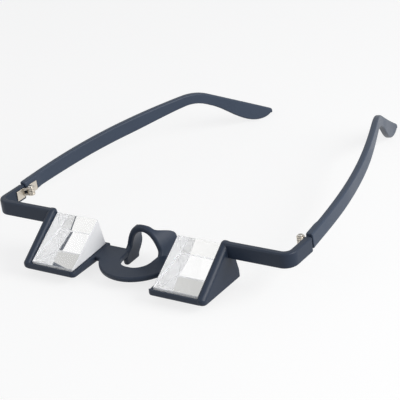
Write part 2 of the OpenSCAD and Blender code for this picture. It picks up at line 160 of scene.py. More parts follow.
# Temples
EAR_START = 87.5  # where the temple bends down
EAR_RADIUS = 24.0
EAR_ANGLE = math.radians(30.5)
TIP_LENGTH = 36.45
TIP_ROUND = 13.0
TIP_TOP_ROUND = 1.0
TEMPLE_TUCK = 35.4  # how far the tip comes inwards
ROOT_RISE = 0.85  # of the root's top above the bar's
TEMPLE_CLIMB = 4.335  # from there to the ear
CLIMB_BEND = 1.5
ROOT_END = 7.0  # the thicker root ends
THIN_START = 9.0  # the thinner arm starts
ARM_START = 30.0
ARM_END = 58.0
WAIST_START = EAR_START + 8.5
WAIST_END = EAR_START + 15.0
TUCK_WEIGHTS = (0.06, 0.16, 0.78)  # its share at a quarter, half and 3/4
ROOT_HEIGHT = 6.0
ARM_HEIGHT = 6.3
WAIST_HEIGHT = 4.6
PADDLE_HEIGHT = 7.08
ROOT_THICKNESS = 2.9
ARM_THICKNESS = 2.5
ROOT_ROUND = 0.4
TEMPLE_EDGE = 0.7
TEMPLE_STEPS = 110

# Hinges
HINGE_INSET = 5.2  # of the screw from the outer face
HINGE_BACK = 0.3  # of the screw behind the parting line
LEAF_GAP = 1.7  # from the screw to the plate's near edge
LEAF_LENGTH = 4.3
LEAF_HEIGHT = 4.0
LEAF_THICKNESS = 0.8
LEAF_INLAY = 0.35  # how deep the plate lies in the plastic
BARREL_SINK = 0.8  # of the knuckles' top below the bar's
BARREL_HEIGHT = 3.3
BARREL_D = 3.0
KNUCKLE_HEIGHT = 1.3  # of the temple's knuckle
KNUCKLE_GAP = 0.05
KNUCKLE_SHORT = 0.03  # below the screw's head
SCREW_D = 1.2
SCREW_HEAD_D = 2.1
SCREW_HEAD_H = 0.5
SCREW_HEAD_EDGE = 0.22
SCREW_GAP = 0.05
SCREW_SIDES = 48
ARM_WIDTH = 0.9  # of the arm from a knuckle to its plate
ARM_STEP = 0.04  # how far its faces lie inside its knuckle's
ARM_BITE = 0.4  # how far the arm runs on over its plate
KNUCKLE_EDGE = 0.12
LEAF_EDGE = 0.1
SLOT_WIDTH = 0.3
SLOT_DEPTH = 0.25

hinge = Vector(frame["joints"][0]["pos_m"])
PARTING_LINE = hinge.y - HINGE_BACK * MM
BAR_TOP = cad_low.z + (PAD_SINK - PAD_LIFT) * MM


def at(x, y, z):
    """A place in millimetres from the parting line and the bar tops, as metres in the frame."""
    return Vector((x * MM, PARTING_LINE + y * MM, BAR_TOP + z * MM))


# Light and camera

PALE = (0.913, 0.913, 0.913, 1)
WHITE_WALL = (1.0, 1.0, 1.0, 1)
GREY_WALL = (0.62, 0.62, 0.61, 1)
FLOOR_GLOW = 0.85
ROOM_COLOUR = (0.94, 0.96, 1.0, 1)
ROOM_STRENGTH = 0.34
FLOOR_SIZE = 6.0  # metres
FLOOR_GAP = 0.00005  # metres
LAMP_TARGET = (0, -0.03, 0.01)  # metres
BEHIND = (0.1, 0.6)  # how far back a ray points where the grey starts and is full
LOW_DOWN = (0.65, 0.3)  # how high it points there
CAMERA_TARGET = (20.953, 0, 6.845)


def softbox(name, place, size, power, tint):
    """A lamp with its place and size in metres and its power in watts."""
    lamp = bpy.data.lights.new(name, "AREA")
    lamp.shape = "RECTANGLE"
    lamp.size, lamp.size_y = size
    lamp.energy = power
    lamp.color = tint
    obj = bpy.data.objects.new(name, lamp)
    bpy.context.scene.collection.objects.link(obj)
    obj.location = place
    sight = Vector(LAMP_TARGET) - obj.location
    obj.rotation_euler = sight.to_track_quat("-Z", "Y").to_euler()


def photo_camera():
    """The photograph's camera, solved from the outline of the frame."""
    azimuth, elevation, roll = (math.radians(a) for a in (37.462, 25.277, -8.298))
    distance, focal_pixels, image_pixels = 560.716, 1527.531, 400.0
    back = Vector(
        (
            math.sin(azimuth) * math.cos(elevation),
            -math.cos(azimuth) * math.cos(elevation),
            math.sin(elevation),
        )
    )
    level = Vector((math.cos(azimuth), math.sin(azimuth), 0))
    up = back.cross(level)
    right = level * math.cos(roll) + up * math.sin(roll)
    up = back.cross(right)
    data = bpy.data.cameras.new("photo_camera")
    data.sensor_width = 36
    data.lens = focal_pixels / image_pixels * data.sensor_width
    data.clip_start, data.clip_end = 0.01, 20
    camera = bpy.data.objects.new("photo_camera", data)
    bpy.context.scene.collection.objects.link(camera)
    turned = Matrix((right, up, back)).transposed().to_4x4()
    turned.translation = at(*CAMERA_TARGET) + back * distance * MM
    camera.matrix_world = turned
    bpy.context.scene.camera = camera


def studio():
    """A pale even room, a large lamp to the wearer's left and a weak one ahead."""
    scene = bpy.context.scene
    scene.view_settings.view_transform = "Standard"
    world = bpy.data.worlds.new("studio")
    scene.world = world
    world.use_nodes = True
    nodes, links = world.node_tree.nodes, world.node_tree.links
    nodes.clear()
    out = nodes.new("ShaderNodeOutputWorld")
    mixed = nodes.new("ShaderNodeMixShader")
    room = nodes.new("ShaderNodeBackground")
    room.inputs["Color"].default_value = ROOM_COLOUR
    room.inputs["Strength"].default_value = ROOM_STRENGTH
    pale = nodes.new("ShaderNodeBackground")
    links.new(far_wall(nodes, links), pale.inputs["Color"])
    links.new(seen_directly(nodes, links), mixed.inputs["Fac"])
    links.new(room.outputs[0], mixed.inputs[1])
    links.new(pale.outputs[0], mixed.inputs[2])
    links.new(mixed.outputs[0], out.inputs["Surface"])

    softbox("key_right", (0.66, 0.06, 0.3), size=(0.45, 0.45), power=4.4, tint=(1, 0.99, 0.98))
    softbox("fill_front", (-0.3, -0.65, 0.3), size=(0.5, 0.4), power=0.7, tint=(0.97, 0.98, 1))


def worked_out(nodes, links, operation, first, second):
    """The result of a Math node on a socket and another socket or a plain number."""
    node = nodes.new("ShaderNodeMath")
    node.operation = operation
    links.new(first, node.inputs[0])
    if isinstance(second, float):
        node.inputs[1].default_value = second
    else:
        links.new(second, node.inputs[1])
    return node.outputs[0]


def faded(nodes, links, value, none, full):
    """0 where a value is at none or short of it, 1 from full on, and eased between."""
    node = nodes.new("ShaderNodeMapRange")
    node.interpolation_type = "SMOOTHSTEP"
    node.inputs["From Min"].default_value = none
    node.inputs["From Max"].default_value = full
    links.new(value, node.inputs["Value"])
    return node.outputs["Result"]


def two_colours(nodes, links, share, first, second):
    """A colour that goes from the first to the second as the share goes from 0 to 1."""
    node = nodes.new("ShaderNodeMix")
    node.data_type = "RGBA"
    node.inputs["A"].default_value = first
    node.inputs["B"].default_value = second
    links.new(share, node.inputs["Factor"])
    return node.outputs["Result"]


def far_wall(nodes, links):
    """The room as glass and gloss see it: white ahead and above, greyer low down behind."""
    place = nodes.new("ShaderNodeTexCoord")
    parts = nodes.new("ShaderNodeSeparateXYZ")
    links.new(place.outputs["Generated"], parts.inputs[0])
    behind = faded(nodes, links, parts.outputs["Y"], *BEHIND)
    low = faded(nodes, links, parts.outputs["Z"], *LOW_DOWN)
    both = worked_out(nodes, links, "MULTIPLY", behind, low)
    return two_colours(nodes, links, both, WHITE_WALL, GREY_WALL)


def seen_directly(nodes, links):
    """1 for camera, glossy and transmitted rays, which see the pale background."""
    seen = nodes.new("ShaderNodeLightPath").outputs
    either = worked_out(
        nodes, links, "MAXIMUM", seen["Is Camera Ray"], seen["Is Transmission Ray"]
    )
    return worked_out(nodes, links, "MAXIMUM", either, seen["Is Glossy Ray"])


def floor():
    """Pale paper: it shows the background's colour, less the shadow that falls on it."""
    bpy.ops.mesh.primitive_plane_add(size=FLOOR_SIZE, location=(0, 0, cad_low.z - FLOOR_GAP))
    plane = bpy.context.object
    plane.name = "floor"
    mat = new_material("floor_paper")
    nodes, links = mat.node_tree.nodes, mat.node_tree.links
    shader = nodes["Principled BSDF"]
    shader.inputs["Base Color"].default_value = (0.27, 0.27, 0.27, 1)
    shader.inputs["Roughness"].default_value = 1
    shader.inputs["Specular IOR Level"].default_value = 0
    shader.inputs["Emission Color"].default_value = PALE
    glow = worked_out(nodes, links, "MULTIPLY", seen_directly(nodes, links), FLOOR_GLOW)
    links.new(glow, shader.inputs["Emission Strength"])
    plane.data.materials.append(mat)


# Materials

NOISE_LOW, NOISE_HIGH = 0.3, 0.7
CROWN_GLASS_IOR = 1.517
# strength of the painted white glow on the inner side of the ground glass
PAINTED_GLOW_STRENGTH = 0.22


def new_material(name):
    """A material with its Principled shader."""
    mat = bpy.data.materials.new(name)
    mat.use_nodes = True
    return mat


def group_with(name, inputs, outputs):
    """A shader node group with its named inputs and outputs, and its two end nodes."""
    group = bpy.data.node_groups.new(name, "ShaderNodeTree")
    for label, kind in inputs:
        group.interface.new_socket(label, in_out="INPUT", socket_type=kind)
    for label, kind in outputs:
        group.interface.new_socket(label, in_out="OUTPUT", socket_type=kind)
    return group, group.nodes.new("NodeGroupInput"), group.nodes.new("NodeGroupOutput")


def mould_texture_group():
    """Fine spark-eroded grain of an injection mould with a slow drift in gloss."""
    group, start, end = group_with(
        "mould_texture",
        [("Vector", "NodeSocketVector"), ("Grain", "NodeSocketFloat")],
        [("Height", "NodeSocketFloat"), ("Drift", "NodeSocketFloat")],
    )
    nodes, links = group.nodes, group.links
    grain = nodes.new("ShaderNodeTexNoise")
    grain.inputs["Detail"].default_value = 3
    grain.inputs["Roughness"].default_value = 0.6
    links.new(start.outputs["Vector"], grain.inputs["Vector"])
    links.new(start.outputs["Grain"], grain.inputs["Scale"])
    drift = nodes.new("ShaderNodeTexNoise")
    drift.inputs["Scale"].default_value = 60
    drift.inputs["Detail"].default_value = 2
    links.new(start.outputs["Vector"], drift.inputs["Vector"])
    links.new(grain.outputs["Fac"], end.inputs["Height"])
    links.new(drift.outputs["Fac"], end.inputs["Drift"])
    return group


def brushed_group():
    """Fine parallel lines left by drawing and barrelling small metal parts."""
    group, start, end = group_with(
        "brushed_metal",
        [("Vector", "NodeSocketVector"), ("Grain", "NodeSocketFloat")],
        [("Height", "NodeSocketFloat"), ("Drift", "NodeSocketFloat")],
    )
    nodes, links = group.nodes, group.links
    stretch = nodes.new("ShaderNodeVectorMath")
    stretch.operation = "MULTIPLY"
    stretch.inputs[1].default_value = (1, 0.08, 1)
    links.new(start.outputs["Vector"], stretch.inputs[0])
    lines = nodes.new("ShaderNodeTexNoise")
    lines.inputs["Detail"].default_value = 4
    links.new(stretch.outputs[0], lines.inputs["Vector"])
    links.new(start.outputs["Grain"], lines.inputs["Scale"])
    drift = nodes.new("ShaderNodeTexNoise")
    drift.inputs["Scale"].default_value = 400
    links.new(start.outputs["Vector"], drift.inputs["Vector"])
    links.new(lines.outputs["Fac"], end.inputs["Height"])
    links.new(drift.outputs["Fac"], end.inputs["Drift"])
    return group


def textured(mat, group, depth, grain, dark, light, rough_low, rough_high, bump):
    """Places a texture group in a material: colour and gloss drift, grain goes to the bump.

    Depth is the bump's, in metres, and grain is the scale of the group's noise.
    """
    nodes, links = mat.node_tree.nodes, mat.node_tree.links
    shader = nodes["Principled BSDF"]
    place = nodes.new("ShaderNodeTexCoord")
    texture = nodes.new("ShaderNodeGroup")
    texture.node_tree = group
    texture.inputs["Grain"].default_value = grain
    links.new(place.outputs["Object"], texture.inputs["Vector"])
    colour = two_colours(nodes, links, texture.outputs["Drift"], (*dark, 1), (*light, 1))
    links.new(colour, shader.inputs["Base Color"])
    rough = nodes.new("ShaderNodeMapRange")
    rough.inputs["From Min"].default_value = NOISE_LOW
    rough.inputs["From Max"].default_value = NOISE_HIGH
    rough.inputs["To Min"].default_value = rough_low
    rough.inputs["To Max"].default_value = rough_high
    links.new(texture.outputs["Drift"], rough.inputs["Value"])
    links.new(rough.outputs["Result"], shader.inputs["Roughness"])
    bumped = nodes.new("ShaderNodeBump")
    bumped.inputs["Strength"].default_value = bump
    bumped.inputs["Distance"].default_value = depth
    links.new(texture.outputs["Height"], bumped.inputs["Height"])
    links.new(bumped.outputs["Normal"], shader.inputs["Normal"])
    return shader


def moulded_plastic(name, dark, light):
    """Satin plastic as it comes out of a spark-eroded mould."""
    mat = new_material(name)
    shader = textured(
        mat,
        mould_texture,
        depth=0.00002,
        grain=5200,
        dark=dark,
        light=light,
        rough_low=0.36,
        rough_high=0.46,
        bump=0.3,
    )
    shader.inputs["Specular IOR Level"].default_value = 0.28
    return mat


def hinge_metal(name, dark, light, rough):
    """Small drawn and barrelled metal, its gloss drifting around a roughness."""
    mat = new_material(name)
    shader = textured(
        mat,
        brushed_metal,
        depth=0.00001,
        grain=6000,
        dark=dark,
        light=light,
        rough_low=rough - 0.06,
        rough_high=rough + 0.08,
        bump=0.3,
    )
    shader.inputs["Metallic"].default_value = 1
    return mat


def optical_glass(name, roughness, clear, colour):
    """Crown glass: clear is the share of the light that goes straight through a face."""
    mat = new_material(name)
    shader = mat.node_tree.nodes["Principled BSDF"]
    shader.inputs["Base Color"].default_value = (*colour, 1)
    shader.inputs["Roughness"].default_value = roughness
    shader.inputs["IOR"].default_value = CROWN_GLASS_IOR
    shader.inputs["Transmission Weight"].default_value = clear
    return mat


def painted_inner_glow(mat):
    """Paints a white glow on a ground face where it is seen from inside the glass, standing in for
    the light that the prism would scatter onto it.
    """
    nodes, links = mat.node_tree.nodes, mat.node_tree.links
    shader = nodes["Principled BSDF"]
    inside = nodes.new("ShaderNodeNewGeometry").outputs["Backfacing"]
    glow = worked_out(nodes, links, "MULTIPLY", inside, PAINTED_GLOW_STRENGTH)
    shader.inputs["Emission Color"].default_value = (1, 1, 1, 1)
    links.new(glow, shader.inputs["Emission Strength"])


def silver_coat():
    """Polished silver, as the glass shows it from behind."""
    mat = new_material("silver_coat")
    shader = mat.node_tree.nodes["Principled BSDF"]
    shader.inputs["Base Color"].default_value = (0.95, 0.95, 0.94, 1)
    shader.inputs["Metallic"].default_value = 1
    shader.inputs["Roughness"].default_value = 0.06
    return mat


# Modelling helpers


def start_piece(name):
    """Names the new primitive and puts its place, turn and size into its mesh."""
    piece = bpy.context.object
    piece.name = name
    bpy.ops.object.transform_apply(location=True, rotation=True, scale=True)
    return piece


def only(piece):
    """Selects this piece alone and makes it the active one."""
    bpy.ops.object.select_all(action="DESELECT")
    piece.select_set(True)
    bpy.context.view_layer.objects.active = piece


def block(name, low, high):
    """A block between two places in millimetres."""
    bpy.ops.object.select_all(action="DESELECT")
    a, b = at(*low), at(*high)
    bpy.ops.mesh.primitive_cube_add(size=1, location=(a + b) / 2, scale=b - a)
    return start_piece(name)


def rod(name, centre, radius, height, sides=64):
    """An upright rod about a centre in millimetres."""
    bpy.ops.object.select_all(action="DESELECT")
    bpy.ops.mesh.primitive_cylinder_add(
        vertices=sides, radius=radius * MM, depth=height * MM, location=at(*centre)
    )
    return start_piece(name)


def edit(piece):
    """Opens a piece in edit mode and gives its mesh."""
    only(piece)
    bpy.ops.object.mode_set(mode="EDIT")
    return bmesh.from_edit_mesh(piece.data)


def done():
    """Goes back to object mode."""
    bpy.ops.object.mode_set(mode="OBJECT")


def cut_away(piece, place, normal):
    """Cuts off what lies on the normal's side of a plane and closes the cut."""
    edit(piece)
    bpy.ops.mesh.select_all(action="SELECT")
    bpy.ops.mesh.bisect(
        plane_co=place,
        plane_no=Vector(normal).normalized(),
        use_fill=True,
        clear_outer=True,
        threshold=SNAP,
    )
    done()


def pick(mesh, faces=None, edges=None):
    """Selects only the faces or edges that pass a test."""
    bpy.ops.mesh.select_all(action="DESELECT")
    bpy.context.tool_settings.mesh_select_mode = (False, edges is not None, faces is not None)
    for item in mesh.edges if edges else mesh.faces:
        item.select_set((edges or faces)(item))
    mesh.select_flush_mode()
    bmesh.update_edit_mesh(bpy.context.object.data)


def bevel_where(piece, test, width, segments):
    """Rounds the edges that pass a test."""
    mesh = edit(piece)
    pick(mesh, edges=test)
    bpy.ops.mesh.bevel(offset=width * MM, segments=segments, affect="EDGES", clamp_overlap=True)
    done()


def weld(piece):
    """Merges the points of slivers too thin to see, and clears what they leave loose."""
    edit(piece)
    bpy.ops.mesh.select_all(action="SELECT")
    bpy.ops.mesh.remove_doubles(threshold=SLIVER)
    bpy.ops.mesh.delete_loose(use_verts=True, use_edges=True, use_faces=False)
    done()


def soften(piece, width, segments=3, angle=30):
    """Rounds every edge sharper than the angle."""
    modifier = piece.modifiers.new("rounded edges", "BEVEL")
    modifier.width = width * MM
    modifier.segments = segments
    modifier.limit_method = "ANGLE"
    modifier.angle_limit = math.radians(angle)
    only(piece)
    bpy.ops.object.modifier_apply(modifier=modifier.name)
    weld(piece)


def combine(piece, tool, operation="UNION"):
    """Joins a tool piece to a piece, or cuts it out with DIFFERENCE, and uses it up."""
    modifier = piece.modifiers.new(operation.lower(), "BOOLEAN")
    modifier.operation = operation
    modifier.solver = "EXACT"
    modifier.object = tool
    only(piece)
    bpy.ops.object.modifier_apply(modifier=modifier.name)
    bpy.data.objects.remove(tool)


def turned_copy(piece, name):
    """The mirror image on the wearer's other side, with its normals turned back out."""
    other = piece.copy()
    other.data = piece.data.copy()
    other.name = name
    bpy.context.scene.collection.objects.link(other)
    other.data.transform(Matrix.Scale(-1, 4, (1, 0, 0)))
    edit(other)
    bpy.ops.mesh.select_all(action="SELECT")
    bpy.ops.mesh.normals_make_consistent(inside=False)
    done()
    return other


def smooth(piece):
    """Shades the roundings smooth and keeps the broad faces flat."""
    only(piece)
    bpy.ops.object.shade_smooth_by_angle(angle=SMOOTH_ANGLE)
    modifier = piece.modifiers.new("flat faces stay flat", "WEIGHTED_NORMAL")
    modifier.keep_sharp = True
    bpy.ops.object.modifier_apply(modifier=modifier.name)


def loft(name, rings):
    """A closed skin over rings of equal counts, given in metres."""
    count = len(rings[0])
    points = [p for ring in rings for p in ring]
    faces = []
    for k in range(len(rings) - 1):
        for i in range(count):
            j = (i + 1) % count
            a, b = k * count, (k + 1) * count
            faces.append((a + i, a + j, b + j, b + i))
    faces.append(tuple(range(count - 1, -1, -1)))
    faces.append(tuple((len(rings) - 1) * count + i for i in range(count)))
    data = bpy.data.meshes.new(name)
    data.from_pydata(points, [], faces)
    piece = bpy.data.objects.new(name, data)
    bpy.context.scene.collection.objects.link(piece)
    edit(piece)
    bpy.ops.mesh.select_all(action="SELECT")
    bpy.ops.mesh.normals_make_consistent(inside=False)
    done()
    return piece


def ease(t):
    """0 to 1 as t goes from 0 to 1, with a soft start and end."""
    return 0.5 - 0.5 * math.cos(math.pi * min(max(t, 0), 1))


def along(stations, t):
    """A value eased between the stations of a table of (place, value)."""
    for (a, u), (b, v) in zip(stations, stations[1:]):
        if t <= b:
            return u + (v - u) * ease((t - a) / (b - a))
    return stations[-1][1]


def rounded(corners, counts):
    """Points round an outline whose corners are (x, y, radius)."""
    points = []
    for k, ((x, y, radius), count) in enumerate(zip(corners, counts)):
        spot = Vector((x, y))
        before = (Vector(corners[k - 1][:2]) - spot).normalized()
        after = (Vector(corners[(k + 1) % len(corners)][:2]) - spot).normalized()
        half = before.angle(after) / 2
        centre = spot + (before + after).normalized() * radius / math.sin(half)
        start = spot + before * radius / math.tan(half) - centre
        end = spot + after * radius / math.tan(half) - centre
        sweep = start.angle_signed(end)
        for i in range(count + 1):
            points.append(centre + Matrix.Rotation(-sweep * i / count, 2) @ start)
    return points


def moved_in(corners, insets):
    """An outline's corners with each of its sides moved inwards by its own inset."""
    moved = []
    for k, (x, y, radius) in enumerate(corners):
        spot = Vector((x, y))
        before = (spot - Vector(corners[k - 1][:2])).normalized()
        after = (Vector(corners[(k + 1) % len(corners)][:2]) - spot).normalized()
        a, b = insets[k - 1], insets[k]
        turn = before.cross(after)
        spot = spot + (after * a - before * b) / turn
        shrink = math.copysign((a + b) / 2, turn)
        moved.append((spot.x, spot.y, max(radius - shrink, LEAST_CORNER)))
    return moved


def slab(name, corners, counts, place, ends):
    """A skin over an outline, its rim rounded towards both faces.

    Each end is (level, depth, insets): the face's level at a place in the outline, how deep
    the rounding starts below the face, and how far each side of the outline moves in.
    """
    rings = []
    for end, (level, depth, insets) in enumerate(ends):
        half = []
        for degrees in range(0, 91, RIM_DEGREES):
            turn = math.radians(degrees)
            share = 1 - math.sin(turn)
            outline = rounded(moved_in(corners, [i * share for i in insets]), counts)
            fall = depth * (1 - math.cos(turn))
            half.append([place(p, level(p) + fall) for p in outline])
        rings.extend(reversed(half) if end else half)
    piece = loft(name, rings)
    weld(piece)
    return piece


def section(width, height, radius, steps=5):
    """Points round a rectangle with rounded corners, counter-clockwise from its lower side."""
    points = []
    for k, (sx, sy) in enumerate(((1, -1), (1, 1), (-1, 1), (-1, -1))):
        centre = Vector((sx * (width / 2 - radius), sy * (height / 2 - radius)))
        for i in range(steps + 1):
            turn = math.radians(-90 + 90 * k + 90 * i / steps)
            points.append(centre + radius * Vector((math.cos(turn), math.sin(turn))))
    return points


# The front moulding

floor_run = Vector((0, -math.cos(FLOOR_SLOPE), -math.sin(FLOOR_SLOPE)))
floor_normal = Vector((0, -math.sin(FLOOR_SLOPE), math.cos(FLOOR_SLOPE)))
back_turn = math.pi + FLOOR_SLOPE - PRISM_ANGLE
PRISM_FRONT = PRISM_REAR + PRISM_FLOOR * floor_run
PRISM_TOP = PRISM_REAR + PRISM_BACK * Vector((0, math.cos(back_turn), math.sin(back_turn)))
CHEEK_INNER = PRISM_INSET + PRISM_WIDTH + SEAT
LIP_FRONT = PRISM_FRONT.y - SEAT - LIP_THICKNESS
LIP_TOP = PRISM_FRONT.z + LIP_RISE
CRADLE_REAR = PRISM_REAR.y + CRADLE_BACK


def bar():
    """Bar, bend and end piece: a block whose end is spun round the corner and drawn out."""
    start = CHEEK_INNER + BAR_START
    bend = HALF_WIDTH - BAR_CORNER
    piece = block(
        "bar", (start, -BAR_REACH, -BAR_HEIGHT), (bend, BAR_THICKNESS - BAR_REACH, 0)
    )
    mesh = edit(piece)
    pick(mesh, faces=lambda f: f.normal.x > 0.9)
    bpy.ops.mesh.spin(
        steps=BEND_STEPS,
        angle=math.radians(90),
        center=at(bend, BAR_CORNER - BAR_REACH, 0),
        axis=(0, 0, -1),
    )
    bpy.ops.mesh.extrude_region_move(
        TRANSFORM_OT_translate={"value": (0, (BAR_REACH - BAR_CORNER - PARTING / 2) * MM, 0)}
    )
    done()
    soften(piece, EDGE, segments=4, angle=50)
    return piece


def cheek():
    """Cheek plate: its side outline, with a rounder rim along the leaning front edge.

    Its sides go round from the underside to the upright rear, the leaning rear, the top,
    the leaning front and the upright front beside the lip.
    """
    front, rear = LIP_FRONT - CHEEK_PROUD, CRADLE_REAR + CHEEK_PROUD
    rear_top = BAR_THICKNESS - BAR_REACH + CHEEK_PROUD
    corners = [
        (front, -CRADLE_SINK, 1.9),
        (rear, -CRADLE_SINK, 1.0),
        (rear, PRISM_REAR.z, 3.0),
        (rear_top, CHEEK_RISE, 0.8),
        (CHEEK_SETBACK - BAR_REACH, CHEEK_RISE, 2.0),
        (front, LIP_TOP + CHEEK_PROUD, 1.4),
    ]
    inner, outer, back = CHEEK_INNER_ROUND, CHEEK_OUTER_ROUND, CHEEK_OUTER_BACK
    inner_face = (lambda p: CHEEK_INNER, inner, [EDGE] * 4 + [inner] * 2)
    outer_face = (
        lambda p: CHEEK_INNER + CHEEK_THICKNESS,
        -outer,
        [EDGE] * 3 + [CHEEK_TOP_BACK] + [back] * 2,
    )
    counts = [14] * len(corners)
    return slab("cheek", corners, counts, lambda p, x: at(x, p.x, p.y), (inner_face, outer_face))


def cradle():
    """Cradle floor with its lip, and the shallow seat that the coat lies in.

    Its sides go round from the front to the cheek's side, the rear and the inner side.
    """
    inner, far = PRISM_INSET - RAIL, CHEEK_INNER + CRADLE_BITE
    corners = [
        (inner, LIP_FRONT, RAIL_CORNER),
        (far, LIP_FRONT, SHARP_CORNER),
        (far, CRADLE_REAR, SHARP_CORNER),
        (inner, CRADLE_REAR, 0.6),
    ]
    counts = [14, 4, 4, 8]
    underside = (lambda p: CHEEK_PROUD - CRADLE_SINK, 1.0, [LIP_UNDER_ROUND, 0, 0.4, 0.5])
    slope = math.tan(FLOOR_SLOPE)
    top = (lambda p: PRISM_REAR.z + (p.y - PRISM_REAR.y) * slope, -RIM, [RIM] * 4)
    piece = slab("cradle", corners, counts, lambda p, z: at(p.x, p.y, z), (underside, top))
    base = (lambda p: LIP_TOP - LIP_RISE - LIP_ROOT, 0.2, [0] * 4)
    crest = (lambda p: LIP_TOP, -RIM, [RIM] * 4)
    corners = moved_in(corners, [LIP_STEP] * 4)
    lip = slab("lip", corners, counts, lambda p, z: at(p.x, p.y, z), (base, crest))
    cut_away(lip, at(0, LIP_FRONT + LIP_THICKNESS + LIP_OVERLAP, 0), (0, 1, 0))
    seat_for_glass(piece)
    combine(piece, lip)
    return piece


def floor_block(name, x_low, x_high, run_low, run_high, low, high):
    """A block lying along the prism floor: runs ahead from its rear edge, heights from it."""
    piece = block(name, (x_low, -run_high, low), (x_high, -run_low, high))
    pivot = at(0, 0, 0)
    rear = at(*PRISM_REAR)
    turn = Matrix.Rotation(FLOOR_SLOPE, 4, "X")
    piece.data.transform(Matrix.Translation(rear) @ turn @ Matrix.Translation(-pivot))
    return piece


def seat_for_glass(piece):
    """Cuts the beds of the glass and its coat. The cheek closes the glass bed's far side."""
    side, far = PRISM_INSET, PRISM_INSET + PRISM_WIDTH
    glass_bed = floor_block(
        "glass_bed",
        side - SEAT,
        far + 2 * SPARE,
        -SEAT,
        PRISM_FLOOR + SEAT,
        -SEAT,
        BED_HEIGHT,
    )
    combine(piece, glass_bed, "DIFFERENCE")
    coat_bed = floor_block(
        "coat_bed",
        side + COAT_MARGIN - SEAT,
        far - COAT_MARGIN + SEAT,
        COAT_MARGIN - SEAT,
        PRISM_FLOOR - COAT_MARGIN + SEAT,
        -COAT_THICKNESS - SEAT,
        COAT_BED_HEIGHT,
    )
    combine(piece, coat_bed, "DIFFERENCE")


def bridge_plate():
    """Round plate with two necks and an open nose slot, its rims rounded.

    Half of the outline runs from the round front over a neck to the slot's closed end. Its
    first corner is where the plate's two tangents meet, far ahead of it.
    """
    edge_x = PLATE_RADIUS * math.cos(NECK_ANGLE)
    edge_y = -PLATE_RADIUS * math.sin(NECK_ANGLE) - PLATE_CENTRE
    neck_in = edge_x + (-NECK_REACH - edge_y) * math.tan(NECK_ANGLE)
    neck_end = PRISM_INSET - RAIL + NECK_BITE
    neck_out = neck_end + SPARE
    rear = PLATE_BITE - ARCH_REACH
    slot_front = NOSE_HALF - SLOT_TAPER
    half = [
        (0, -PLATE_CENTRE - PLATE_RADIUS / math.sin(NECK_ANGLE), PLATE_RADIUS),
        (neck_in, -NECK_REACH, NECK_FILLET),
        (neck_out, -NECK_REACH, SHARP_CORNER),
        (neck_out, rear, SHARP_CORNER),
        (NOSE_HALF + SLOT_TAPER, rear, 0.9),
        (slot_front, -NOSE_REACH, slot_front - SLOT_FLAT),
    ]
    corners = half + [(-x, y, r) for x, y, r in half[:0:-1]]
    steps = [12, 4, 4, 8, 36]
    counts = [110] + steps + steps[::-1]
    rims = [PLATE_RIM] * 4 + [SLOT_RIM] * 3 + [PLATE_RIM] * 4
    underside = (lambda p: -PLATE_THICKNESS, PLATE_RIM, rims)
    top = (lambda p: 0, -PLATE_RIM, rims)
    piece = slab("bridge_plate", corners, counts, lambda p, z: at(p.x, p.y, z), (underside, top))
    cut_away(piece, at(neck_end, 0, 0), (1, 0, 0))
    cut_away(piece, at(-neck_end, 0, 0), (-1, 0, 0))
    turn = Matrix.Rotation(FLOOR_SLOPE, 4, "X")
    pivot = at(0, PRISM_REAR.y, 0)
    seat = at(0, PRISM_REAR.y, PRISM_REAR.z) - floor_normal * PLATE_STEP * MM
    piece.data.transform(Matrix.Translation(seat) @ turn @ Matrix.Translation(-pivot))
    return piece


def bow(t):
    """Inner line of the nose arch, from its top down to the end of a pad."""
    points = (
        Vector((0, -ARCH_SINK)),
        Vector((ARCH_SHOULDER, -ARCH_SINK)),
        Vector((NOSE_HALF, PRISM_REAR.z + PAD_KNEE)),
        Vector((NOSE_HALF + PAD_SPREAD, -PAD_SINK + EDGE)),
    )
    weights = ((1 - t) ** 3, 3 * (1 - t) ** 2 * t, 3 * (1 - t) * t * t, t**3)
    return sum((w * p for w, p in zip(weights, points)), Vector((0, 0)))


def band_ring(t, inset=0.0, drop=0.0):
    """Section of the arch or pad at a share of the bow, shrunk by inset and lowered by drop.

    Each table has shares of the bow, with how far ahead of the parting line an edge lies or
    how far the pad flares there.
    """
    front_edge = (
        (0, ARCH_REACH),
        (0.66, ARCH_REACH),
        (0.9, ARCH_REACH + PAD_FORE),
        (1, ARCH_REACH + PAD_FORE - 0.6),
    )
    rear_edge = (
        (0, ARCH_REACH - ARCH_DEPTH),
        (0.2, ARCH_REACH - ARCH_DEPTH - 0.6),
        (0.56, PAD_REACH),
        (0.7, PAD_REACH + 0.1),
        (1, PAD_REACH + 3.6),
    )
    flares = ((0.2, 0), (0.55, PAD_FLARE), (0.9, PAD_FLARE_END))
    front = inset - along(front_edge, t)
    rear = -along(rear_edge, t) - inset
    thinned = ease(ARCH_THINNING * t)
    width = ARCH_THICKNESS + (PAD_THICKNESS - ARCH_THICKNESS) * thinned - 2 * inset
    flare = along(flares, t)
    step = 0.01
    slope = bow(min(t + step, 1)) - bow(max(t - step, 0))
    out = Vector((-slope.y, slope.x)).normalized()
    ring = []
    for p in section(rear - front, width, min(width / 2 - 0.05, BAND_CORNER)):
        share = 0.5 + p.x / (rear - front)
        away = p.y + width / 2 + inset + flare * share * share
        spot = bow(t) + out * away
        ring.append(at(spot.x, (front + rear) / 2 + p.x, spot.y - drop))
    return ring


def saddle():
    """Nose arch and pads: half the band is swept and mirrored in one closed skin."""
    half = [band_ring(k / SADDLE_STEPS) for k in range(SADDLE_STEPS + 1)]
    for k in range(1, 5):
        turn = math.radians(22.5 * k)
        half.append(band_ring(1, EDGE * (1 - math.cos(turn)), EDGE * math.sin(turn)))
    other = [[Vector((-p.x, p.y, p.z)) for p in ring] for ring in half[:0:-1]]
    return loft("saddle", other + half)


